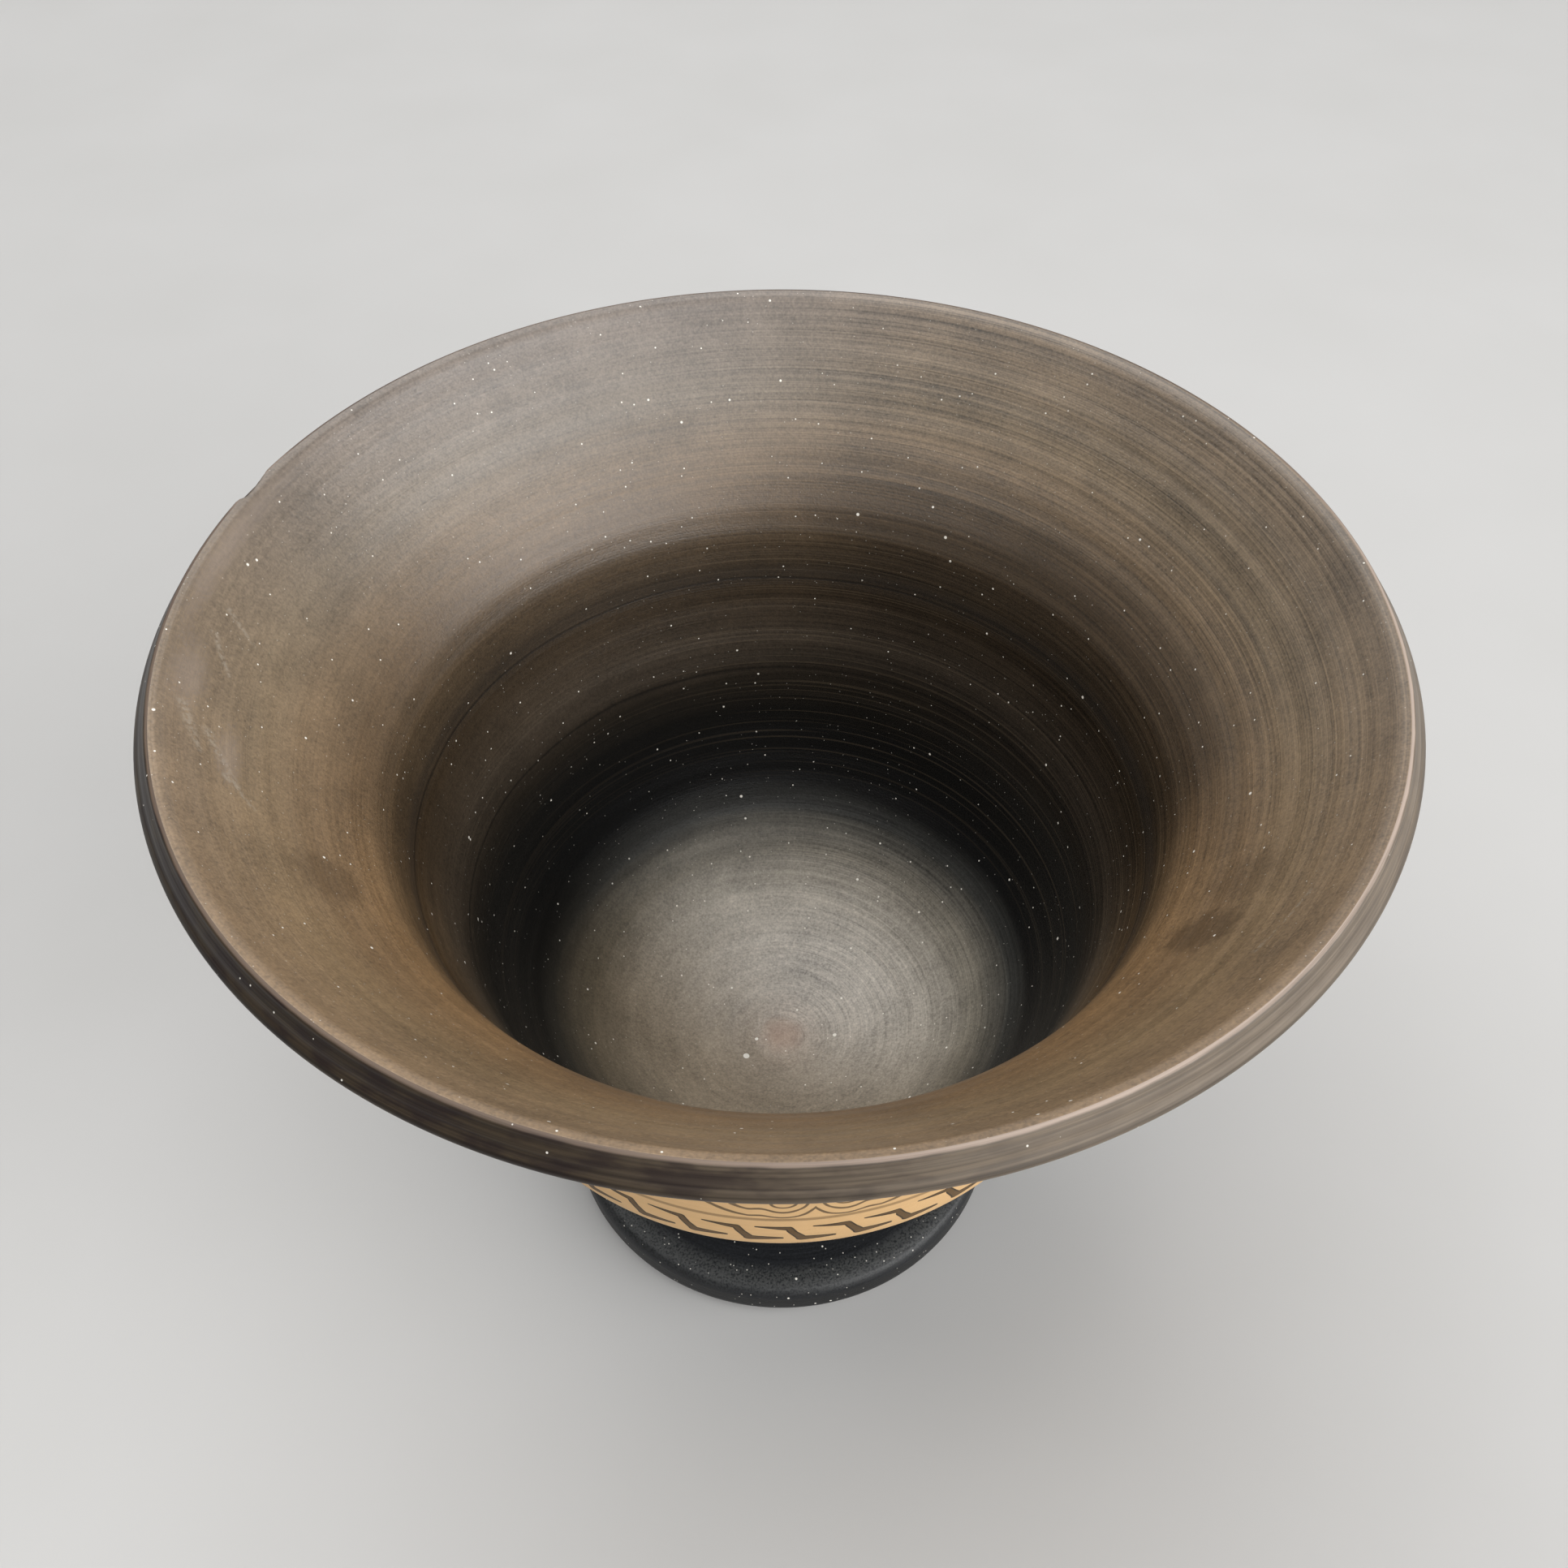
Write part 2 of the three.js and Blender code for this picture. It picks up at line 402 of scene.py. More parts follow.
def cut_chip(place, azimuth):
    """Moves the points of the profile at one azimuth that are in the chip to the chip's far surface."""
    tangent = radians(azimuth - CHIP_AZIMUTH) * RIDGE_RADIUS
    length = CHIP_FRONT_LENGTH if tangent > 0 else CHIP_BACK_LENGTH
    left = 1 - (tangent / length) ** 2
    if left <= 0:
        return place
    half = np.array([CHIP_HALF_WIDTH, CHIP_HALF_HEIGHT]) * sqrt(left)
    centre = np.array([RIDGE_RADIUS + CHIP_DEPTH, RIDGE_HEIGHT])
    lean = np.array(CHIP_LEAN) / half
    moved = place.copy()
    for i, point in enumerate(place):
        offset = (point - centre) / half
        inside = 1 - offset @ offset
        if inside <= 0:
            continue
        forward = offset @ lean
        step = (-forward + sqrt(forward**2 + (lean @ lean) * inside)) / (lean @ lean)
        moved[i] = point + step * np.array(CHIP_LEAN)
    return moved


def make_body():
    """The turned vessel: the profile at each azimuth, all joined at its two points on the axis."""
    points, zones, along = join_sections(krater_profile())
    tangents = np.gradient(points, axis=0)
    tangents /= np.linalg.norm(tangents, axis=1)[:, None]
    normals = np.column_stack([-tangents[:, 1], tangents[:, 0]])
    azimuths = ring_azimuths()
    columns = []
    for azimuth in azimuths:
        height = relief(points, zones, along, azimuth) + lip_line(points, zones)
        place = points + normals * height[:, None]
        place[0, 0] = place[-1, 0] = 0
        place = cut_chip(place, azimuth)
        a = radians(azimuth)
        columns.append(np.column_stack([place[:, 0] * sin(a), -place[:, 0] * cos(a), place[:, 1]]))

    top, bottom = columns[0][0], columns[0][-1]
    vertices = [top] + [p for column in columns for p in column[1:-1]] + [bottom]
    inner = len(points) - 2
    last = len(vertices) - 1
    slot_at = [list(SURFACES).index(zone) for zone in zones]
    faces, slots = [], []
    for j in range(len(azimuths)):
        k = (j + 1) % len(azimuths)
        a, b = 1 + j * inner, 1 + k * inner
        faces.append((0, a, b))
        slots.append(slot_at[1])
        for i in range(inner - 1):
            faces.append((a + i, a + i + 1, b + i + 1, b + i))
            slots.append(slot_at[i + 2])
        faces.append((a + inner - 1, last, b + inner - 1))
        slots.append(slot_at[-1])
    made = make_mesh("krater_body", np.array(vertices) * MM, faces)
    for polygon, slot in zip(made.data.polygons, slots):
        polygon.material_index = slot
    values = [along[0]] + list(along[1:-1]) * len(azimuths) + [along[-1]]
    made.data.attributes.new("along", "FLOAT", "POINT").data.foreach_set("value", values)
    return made


def make_mesh(name, vertices, faces):
    mesh = bpy.data.meshes.new(name)
    mesh.from_pydata([tuple(v) for v in vertices], [], faces)
    mesh.update()
    mesh.polygons.foreach_set("use_smooth", [True] * len(mesh.polygons))
    made = bpy.data.objects.new(name, mesh)
    bpy.context.scene.collection.objects.link(made)
    return made


# Handles

def handle_path(side):
    """The smooth line through the handle's stations, as in the solid: evenly paced by the root of
    the distance between stations."""
    half = [np.array([side * x, side * y, z]) for x, y, z in HANDLE_STATIONS]
    back = [np.array([side * x, -side * y, z]) for x, y, z in reversed(HANDLE_STATIONS)]
    p = half + [np.array([side * HANDLE_APEX[0], 0, HANDLE_APEX[2]])] + back
    p = [2 * p[0] - p[1]] + p + [2 * p[-1] - p[-2]]
    line = []
    for i in range(1, len(p) - 2):
        a, b, c, d = p[i - 1 : i + 3]
        before, here, after = (sqrt(np.linalg.norm(v - u)) for u, v in ((a, b), (b, c), (c, d)))
        leaving = ((b - a) / before - (c - a) / (before + here) + (c - b) / here) * here
        arriving = ((c - b) / here - (d - b) / (here + after) + (d - c) / after) * here
        line += cubic(b, c, leaving, arriving, HANDLE_CURVE_STEPS)
    line.append(p[-2])
    return np.array(line)


def make_handle(name, side):
    """A round loop whose roots widen and sink into the neck's outside."""
    line = handle_path(side)
    length = np.linalg.norm(np.diff(line, axis=0), axis=1).sum()
    line = spread(line, length / HANDLE_STEPS)
    wall = spline(neck_outside(), WALL_SPACING)[::-1]
    vertices = []
    for i, centre in enumerate(line):
        tangent = line[min(i + 1, len(line) - 1)] - line[max(i - 1, 0)]
        tangent /= np.linalg.norm(tangent)
        across = np.cross(tangent, (0, 0, 1))
        across /= np.linalg.norm(across)
        upward = np.cross(across, tangent)
        from_wall = np.hypot(centre[0], centre[1]) - np.interp(centre[2], wall[:, 1], wall[:, 0])
        radius = HANDLE_RADIUS + ROOT_FLARE * np.exp(-((max(from_wall, 0) / ROOT_REACH) ** 2))
        for k in range(HANDLE_SIDES):
            angle = tau * k / HANDLE_SIDES
            p = centre + radius * (cos(angle) * across + sin(angle) * upward)
            r = np.hypot(p[0], p[1])
            least = np.interp(p[2], wall[:, 1], wall[:, 0]) - ROOT_SINK
            if r < least:
                p[:2] *= least / r
            vertices.append(p)
    faces = []
    for i in range(len(line) - 1):
        for k in range(HANDLE_SIDES):
            n = (k + 1) % HANDLE_SIDES
            a, b = i * HANDLE_SIDES, (i + 1) * HANDLE_SIDES
            faces.append((a + k, a + n, b + n, b + k))
    faces.append(tuple(range(HANDLE_SIDES))[::-1])
    faces.append(tuple(range(len(vertices) - HANDLE_SIDES, len(vertices))))
    return make_mesh(name, np.array(vertices) * MM, faces)


# Materials

class Number:
    """A value that a material works out at each point, so that a formula reads as one."""

    def __init__(self, clay, socket):
        self.clay = clay
        self.socket = socket

    def do(self, operation, *others):
        node = self.clay.tree.nodes.new("ShaderNodeMath")
        node.operation = operation
        for socket, value in zip(node.inputs, (self, *others)):
            self.clay.put(socket, value)
        return Number(self.clay, node.outputs[0])

    def __add__(self, other):
        return self.do("ADD", other)

    def __sub__(self, other):
        return self.do("SUBTRACT", other)

    def __mul__(self, other):
        return self.do("MULTIPLY", other)

    def __truediv__(self, other):
        return self.do("DIVIDE", other)

    def __rsub__(self, other):
        return (self * -1) + other

    def __abs__(self):
        return self.do("ABSOLUTE")

    def least(self, other):
        return self.do("MINIMUM", other)

    def most(self, other):
        return self.do("MAXIMUM", other)

    def floor(self):
        return self.do("FLOOR")

    def round(self):
        return self.do("ROUND")

    def wrap(self, low, high):
        return self.do("WRAP", high, low)

    def step(self, start, end):
        """Rises smoothly from 0 at start to 1 at end, or falls where start is above end."""
        node = self.clay.tree.nodes.new("ShaderNodeMapRange")
        node.interpolation_type = "SMOOTHSTEP"
        low, high = (start, end) if start < end else (end, start)
        ends = (0, 1) if start < end else (1, 0)
        for socket, value in zip(node.inputs, (self, low, high, *ends)):
            self.clay.put(socket, value)
        return Number(self.clay, node.outputs[0])

    def between(self, low, high, soft):
        """1 between two values and 0 outside, with soft edges."""
        return self.step(low - soft, low + soft) * self.step(high + soft, high - soft)


class Clay:
    """One clay surface: a material and short ways to build its nodes."""

    def __init__(self, name):
        self.material = bpy.data.materials.new(name)
        self.material.use_nodes = True
        self.tree = self.material.node_tree
        self.shader = self.tree.nodes["Principled BSDF"]
        self.x, self.y, self.z = self.split(self.node("ShaderNodeNewGeometry").outputs["Position"], 1 / MM)
        self.radius = length(self.x, self.y)
        self.azimuth = self.x.do("ARCTAN2", self.y * -1) * (180 / pi)

    def put(self, socket, value):
        value = getattr(value, "socket", value)
        if isinstance(value, bpy.types.NodeSocket):
            self.tree.links.new(value, socket)
        else:
            socket.default_value = value

    def node(self, kind, settings=None, **inputs):
        made = self.tree.nodes.new(kind)
        for name, value in (settings or {}).items():
            setattr(made, name, value)
        for name, value in inputs.items():
            self.put(made.inputs[name], value)
        return made

    def split(self, vector, scale):
        parts = self.node("ShaderNodeSeparateXYZ", Vector=vector)
        return [Number(self, parts.outputs[i]) * scale for i in range(3)]

    def vector(self, x, y, z):
        return self.node("ShaderNodeCombineXYZ", X=x, Y=y, Z=z).outputs[0]

    def place(self):
        return self.vector(self.x, self.y, self.z)

    def past(self, azimuth):
        """Degrees round the vessel from an azimuth to here, from -180 to 180."""
        return (self.azimuth - azimuth).wrap(-180, 180)

    def along(self):
        """Distance along the profile from the centre of the bowl."""
        return Number(self, self.node("ShaderNodeAttribute", {"attribute_name": "along"}).outputs["Fac"])

    def chance(self, seed):
        """A value from 0 to 1 that is fixed for each seed."""
        node = self.node("ShaderNodeTexWhiteNoise", {"noise_dimensions": "1D"}, W=seed)
        return Number(self, node.outputs["Value"])

    def noise(self, vector, scale, detail=2.0, roughness=0.5):
        node = self.node("ShaderNodeTexNoise", Vector=vector, Scale=scale, Detail=detail, Roughness=roughness)
        return Number(self, node.outputs[0])

    def streaks(self, turn, across, detail=3.0):
        """Noise drawn out round the vessel: turn is its fineness round it, and across is its fineness
        along the profile, in lines to a millimetre."""
        along = self.along() * across
        round_x, round_y = self.x / self.radius * turn, self.y / self.radius * turn
        return self.noise(self.vector(round_x, round_y, along), 1, detail)

    def specks(self, cell, size):
        """Grains of half a width in millimetres, scattered with about one to a cell of space."""
        node = self.node("ShaderNodeTexVoronoi", Vector=self.place(), Scale=1 / cell, Randomness=1.0)
        return (Number(self, node.outputs["Distance"]) * cell).step(size, size * 0.6)

    def ramp(self, share, stops):
        node = self.node("ShaderNodeValToRGB", Fac=share)
        elements = node.color_ramp.elements
        while len(elements) < len(stops):
            elements.new(1)
        for element, (position, colour) in zip(elements, stops):
            element.position = position
            element.color = (*colour, 1)
        return node.outputs[0]

    def times(self, colour, factor):
        node = self.node("ShaderNodeVectorMath", {"operation": "SCALE"}, Vector=colour, Scale=factor)
        return node.outputs[0]

    def tint(self, share, colour, factors):
        """The colour, with a share of it multiplied channel by channel."""
        node = self.tree.nodes.new("ShaderNodeVectorMath")
        node.operation = "MULTIPLY"
        self.put(node.inputs[0], colour)
        self.put(node.inputs[1], factors)
        return self.mix(share, colour, node.outputs[0])

    def mix(self, share, first, second):
        node = self.tree.nodes.new("ShaderNodeMix")
        node.data_type = "RGBA"
        for index, value in ((0, share), (6, first), (7, second)):
            self.put(node.inputs[index], (*value, 1) if isinstance(value, tuple) else value)
        return node.outputs[2]

    def bump(self, height, distance):
        node = self.node("ShaderNodeBump", Height=height, Distance=distance * MM, Strength=1.0)
        self.put(self.shader.inputs["Normal"], node.outputs[0])

    def finish(self, colour, roughness, ior=1.5):
        self.put(self.shader.inputs["Base Color"], colour)
        self.put(self.shader.inputs["Roughness"], roughness)
        self.put(self.shader.inputs["IOR"], ior)
        return self.material


def length(u, v):
    return (u * u + v * v).do("SQRT")


def degree_at(radius):
    """Millimetres in a degree round the vessel at a radius."""
    return radius * pi / 180


def tapered(u, v, start, end, start_half, end_half):
    """Distance from a brush stroke that runs straight and changes its width, below 0 inside it."""
    du, dv = end[0] - start[0], end[1] - start[1]
    pu, pv = u - start[0], v - start[1]
    share = ((pu * du + pv * dv) / (du * du + dv * dv)).most(0).least(1)
    return length(pu - share * du, pv - share * dv) - (share * (end_half - start_half) + start_half)


# Colours of the inside, from its centre up to the ridge, as shares of the way along the profile
# The floor's pale grey is partly the slip's own tone and partly painted reflection of the overhead light, and
# the near-black low in the wall is partly dark slip and partly painted shade
INSIDE_COLOURS = [
    (0.00, (0.54, 0.47, 0.40)),
    (0.07, (0.47, 0.430, 0.37)),
    (0.20, (0.40, 0.365, 0.305)),
    (0.265, (0.205, 0.185, 0.145)),
    (0.325, (0.034, 0.034, 0.030)),
    (0.365, (0.0015, 0.0018, 0.0022)),
    (0.465, (0.002, 0.002, 0.002)),
    (0.52, (0.019, 0.014, 0.009)),
    (0.57, (0.060, 0.045, 0.031)),
    (0.655, (0.046, 0.030, 0.016)),
    (0.70, (0.070, 0.047, 0.026)),
    (0.77, (0.140, 0.091, 0.049)),
    (0.84, (0.185, 0.129, 0.076)),
    (0.90, (0.200, 0.149, 0.094)),
    (1.00, (0.190, 0.142, 0.096)),
]

# How much each broad tone of the inside changes the colour under it. The floor's two tints are painted
# reflection and painted shade, and the sheen tint is a painted sheen
FLOOR_FRONT_SHADE_TINT = (0.66, 0.585, 0.50)
FLOOR_BACK_SHEEN_TINT = (1.14, 1.14, 1.17)
SHEEN_TINT = (0.98, 1.08, 1.32)
WARM_TINT = (1.33, 1.18, 0.97)
NECK_SIDE_TINT = (1.75, 1.78, 1.8)

# Marks in the slip
LIGHT_LINE_BROWN = (0.45, 0.34, 0.22)
SMUDGE_BROWN = (0.060, 0.033, 0.012)
SCUFF_PALE = (0.42, 0.37, 0.30)
HAZE_PALE = (0.36, 0.29, 0.245)
CENTRE_RED = (0.44, 0.27, 0.19)
SPECK_WHITE = (0.95, 0.91, 0.82)

# Slip, from dark to pale, for the lip's face and for its painted lit side, and the ridge's pale line of
# rubbed slip and painted highlight
SLIP_DARK = (0.018, 0.0135, 0.0105)
SLIP_PALE = (0.062, 0.044, 0.027)
SLIP_BLOTCH = (0.016, 0.010, 0.011)
SLIP_RUB_AND_HIGHLIGHT = (0.27, 0.19, 0.14)
LIT_DARK = (0.105, 0.082, 0.060)
LIT_PALE = (0.215, 0.168, 0.122)
LIT_RUB_AND_HIGHLIGHT = (0.50, 0.40, 0.335)
CHIP_PALE = (0.33, 0.26, 0.21)

# Black slip of the outside, its worn places, and the foot's ring of rubbed slip and painted highlight
SLIP_BLACK = (0.005, 0.0058, 0.0072)
BLACK_STREAK = (0.017, 0.0185, 0.022)
HANDLE_STREAK = (0.019, 0.018, 0.017)
FOOT_RUB_AND_HIGHLIGHT = (0.075, 0.077, 0.074)

# Bare clay and painted lines
BUFF = (0.72, 0.465, 0.225)
BUFF_DARK = (0.64, 0.40, 0.18)
BARE_DARK = (0.50, 0.29, 0.13)
INK = (0.026, 0.015, 0.004)
INK_POOLED = (0.115, 0.063, 0.020)
INK_THIN = (0.26, 0.155, 0.06)
INK_SCROLL = (0.10, 0.06, 0.024)

BOWL_IOR = 1.42
THROAT_IOR = 1.58
FLARE_IOR = 1.78
LIP_IOR = 1.36
BLACK_IOR = 1.47


def smoky_slip(name, ior):
    """The inside: brown slip burnt darker down the neck and darkened further there by painted shade, pale on
    the floor partly by painted reflection, with fine wheel lines and specks.
    """
    clay = Clay(name)
    broad = clay.streaks(0.8, 0.16)
    colour = clay.ramp(clay.along() / INSIDE_LENGTH + (broad - 0.5) * 0.04, INSIDE_COLOURS)

    # Wheel lines, long and fine, and plainest on the right and at the back
    marked = abs(clay.past(PLAINEST_LINES)).step(85, 30) * 0.85 + clay.noise(clay.place(), 0.014, 1.0) * 0.5
    marked = marked * (clay.z.step(66, 98) * 0.6 + 0.4)
    fine = clay.streaks(1.1, 2.1, 1.0)
    lines = clay.streaks(0.7, 0.95, 2.0)
    grain = clay.noise(clay.place(), 1.5, 1.0)
    pits = clay.noise(clay.place(), 0.75, 1.0)
    mottle = clay.noise(clay.place(), 0.09, 4.0, 0.6)
    clouds = clay.noise(clay.place(), 0.028, 1.0)
    shade = (fine * 1.3 + lines * 1.2 - 1.25) * marked + (clay.streaks(2.2, 0.42, 2.0) - 0.5) * 0.3
    shade = shade + (grain + pits - 1) * 0.55 + (mottle - 0.5) * 0.6 + (clouds - 0.5) * 0.5
    colour = clay.times(colour, (shade + 1).most(0.15))

    # Painted reflection and shade on the floor: pale and cool towards the back, where the overhead light is
    # mirrored, and darker and warmer at the front
    back = (clay.x * 0.53 + clay.y * 0.85).step(-34, 34)
    on_floor = clay.z.step(112, 96)
    colour = clay.tint((1 - back) * on_floor, colour, FLOOR_FRONT_SHADE_TINT)
    colour = clay.tint(back * on_floor, colour, FLOOR_BACK_SHEEN_TINT)

    # Thin lines lighter than the dark slip round them, down the neck
    light_lines = clay.streaks(0.6, 1.4, 0.0).step(0.66, 0.74) * marked
    colour = clay.mix(light_lines * clay.z.between(105, 190, 12) * 0.10, colour, LIGHT_LINE_BROWN)

    # Painted sheen: the slip is cooler and greyer at the back of the flare, left of the middle, where the
    # window light is mirrored
    sheen = abs(clay.past(SHEEN_BACK)).step(62, 20) * clay.z.step(198, 226)
    colour = clay.tint(sheen, colour, SHEEN_TINT)

    # The clay shows warmer through the slip at the front
    warm = abs(clay.azimuth).step(105, 35) * clay.z.step(120, 170)
    colour = clay.tint(warm, colour, WARM_TINT)

    # The brown reaches lower into the neck on both sides of the front
    sides = abs(clay.azimuth).between(26, 78, 14) * clay.z.between(150, 203, 10)
    colour = clay.tint(sides, colour, NECK_SIDE_TINT)

    # Painted shade: darker on the right of the neck, the side turned away from the window light
    painted_shade_right = abs(clay.past(SHADED_RIGHT)).step(72, 30) * clay.z.between(100, 207, 8)
    colour = clay.times(colour, 1 - painted_shade_right * 0.5)

    # Finger marks, light scratches, dusty patches and the reddish middle of the floor
    for azimuth, height, strength in SMUDGES:
        colour = clay.mix(smudge(clay, azimuth, height) * strength, colour, SMUDGE_BROWN)
    for start, end, half in SCUFFS:
        colour = clay.mix(scuff(clay, start, end, half), colour, SCUFF_PALE)
    for azimuth, height, half_length, half_height in HAZE:
        patch = length(clay.past(azimuth) / half_length, (clay.z - height) / half_height)
        dusty = (patch + (mottle + grain - 1) * 1.6).step(1.3, 0.1)
        colour = clay.mix(dusty * 0.3, colour, HAZE_PALE)
    centre = (clay.radius + (mottle - 0.5) * 10).step(10, 2)
    colour = clay.mix(centre * 0.4, colour, CENTRE_RED)

    # Turned creases darkened with painted shade, and a band of painted shadow over the one where the throat
    # begins
    crease = None
    for level, _ in CREASES:
        line = abs(clay.z - level + (clouds - 0.5) * 1.5).step(0.6, 0.15)
        crease = line if crease is None else crease.most(line)
    shadow = clay.z.between(NECK_CREASE + 0.5, NECK_CREASE + 5, 2.5)
    colour = clay.times(colour, (1 - crease * 0.5) * (1 - shadow * 0.25))

    # Grit, and the largest grains of the floor
    specks = None
    for cell, size, strength in GRIT:
        grit = clay.specks(cell, size) * strength
        specks = grit if specks is None else specks.most(grit)
    for x, y, size in FLOOR_SPECKS:
        largest = length(clay.x - x, clay.y - y).step(size, size * 0.8) * clay.z.step(90, 80)
        specks = specks.most(largest)
    colour = clay.mix(specks, colour, SPECK_WHITE)
    clay.bump(fine * 0.4 + grain * 0.4 + pits * 0.4 - crease * 0.25, 0.1)
    return clay.finish(colour, lines * 0.1 + shadow * 0.12 + 0.38, ior)


def smudge(clay, azimuth, height):
    """A finger's mark in the flare, wide and ragged at its edge."""
    across = clay.past(azimuth) * degree_at(SMUDGE_RADIUS) / SMUDGE_HALF_LENGTH
    upward = (clay.z - height) / SMUDGE_HALF_HEIGHT
    ragged = (clay.noise(clay.place(), 0.35, 3.0) - 0.5) * 1.1
    return (length(across, upward) + ragged).step(1.25, 0.55)


def scuff(clay, start, end, half):
    """A light scratch in the flare between two places, each an azimuth and a height."""
    u = clay.past(start[0]) * degree_at(SCUFF_RADIUS)
    across = (end[0] - start[0]) * degree_at(SCUFF_RADIUS)
    broken = clay.noise(clay.place(), 0.9, 2.0).step(0.38, 0.6)
    distance = tapered(u, clay.z, (0, start[1]), (across, end[1]), half, half * 0.4)
    return distance.step(half * 0.8, -half * 0.8) * broken * 0.4


def lip_slip():
    """The face of the lip: dark slip, with a pale line along the ridge that is partly rubbed slip and partly
    painted highlight, and paler on the right of the front as painted light from the window.
    """
    clay = Clay("lip_slip")
    fine = clay.streaks(2.5, 1.8, 2.0)
    blotches = clay.noise(clay.vector(clay.azimuth * 0.22, clay.z * 0.3, 0.0), 1, 3.0).step(0.42, 0.62)
    # Painted light: the face is paler on the right of the front, where the window light falls on it
    lit_side = abs(clay.past(LIT_LIP)).step(75, 30)
    dark = clay.mix(lit_side, SLIP_DARK, LIT_DARK)
    pale = clay.mix(lit_side, SLIP_PALE, LIT_PALE)
    face = clay.mix(fine.step(0.15, 0.85), dark, pale)
    face = clay.mix(blotches * (0.7 - lit_side * 0.55), face, SLIP_BLOTCH)
    # Painted shade in the turned line across the face
    turned_line = clay.z.between(RIDGE_HEIGHT - 6.2, RIDGE_HEIGHT - 5.2, 0.4)
    face = clay.times(face, 1 - turned_line * 0.25)
    wavy = (clay.noise(clay.place(), 0.09, 2.0) - 0.5) * 0.5
    # A pale line along the ridge: partly rubbed slip, partly painted highlight
    ridge = (clay.radius + wavy).step(RIDGE_RADIUS + 0.6, RIDGE_RADIUS + 0.1) * fine.step(0.05, 0.55)
    rub_and_highlight = clay.mix(lit_side, SLIP_RUB_AND_HIGHLIGHT, LIT_RUB_AND_HIGHLIGHT)
    colour = clay.mix(ridge * (lit_side * 0.4 + 0.5), face, rub_and_highlight)
    colour = clay.mix(clay.specks(5, 0.3) * 0.8, colour, SPECK_WHITE)
    from_chip = clay.past(CHIP_BARE_AZIMUTH) / CHIP_BARE_DEGREES
    chip = length(from_chip, (clay.z - RIDGE_HEIGHT) / CHIP_BARE_HEIGHT) + (fine - 0.5) * 0.4
    colour = clay.mix(chip.step(1.1, 0.6) * 0.7, colour, CHIP_PALE)
    clay.bump(fine, 0.05)
    return clay.finish(colour, fine * 0.14 + 0.34, LIP_IOR)


def running_key(clay, wobble_u, wobble_v):
    """Distance from the nearest brush stroke of the border, below 0 inside it."""
    pitch = 360 / KEY_COUNT
    width = pitch * degree_at(BORDER_RADIUS)
    turn = (clay.azimuth - KEY_START) / pitch
    nearest = None
    for reach, strokes in KEY_ROWS:
        number = (turn + reach / width).floor()
        which = number.wrap(0, KEY_COUNT)
        u = (turn - number) * width + (clay.chance(which) - 0.5) * KEY_SHIFT_ROUND + wobble_u
        v = clay.z + (clay.chance(which + 0.5) - 0.5) * KEY_SHIFT_UP + wobble_v
        for stroke in strokes:
            distance = tapered(u, v, *stroke)
            nearest = distance if nearest is None else nearest.least(distance)
    return nearest


def volutes(clay, wobble_u, wobble_v):
    """Distance from the lines of the paired scrolls and the fan of leaves above them, which stand
    at the front and again at the back."""
    u = (clay.azimuth - SCROLL_MIDDLE).wrap(-90, 90) * degree_at(BORDER_RADIUS) + wobble_u
    v = clay.z - SCROLL_EYE_HEIGHT + wobble_v
    outward = abs(u) - SCROLL_EYE_ACROSS
    squeezed = outward * (1 - outward.step(2.5, 9.5) * SCROLL_SQUEEZE)
    turn = squeezed.do("ARCTAN2", v * -1) / tau
    radius = length(squeezed, v)
    nearest = ((radius - SCROLL_EYE_RADIUS) / SCROLL_PITCH + turn).round().most(0).least(SCROLL_TURNS)
    scroll = abs(radius - (nearest - turn) * SCROLL_PITCH - SCROLL_EYE_RADIUS)
    fan_v = v - FAN_ABOVE_EYES
    leaf_angle = u.do("ARCTAN2", fan_v)
    number = (leaf_angle / LEAF_ANGLE).round().most(-LEAVES_EACH_SIDE).least(LEAVES_EACH_SIDE)
    folded = leaf_angle - number * LEAF_ANGLE
    reach = length(u, fan_v)
    leaf = abs(tapered(reach * folded.do("SINE"), reach * folded.do("COSINE"), *LEAF))
    return scroll.least(leaf)


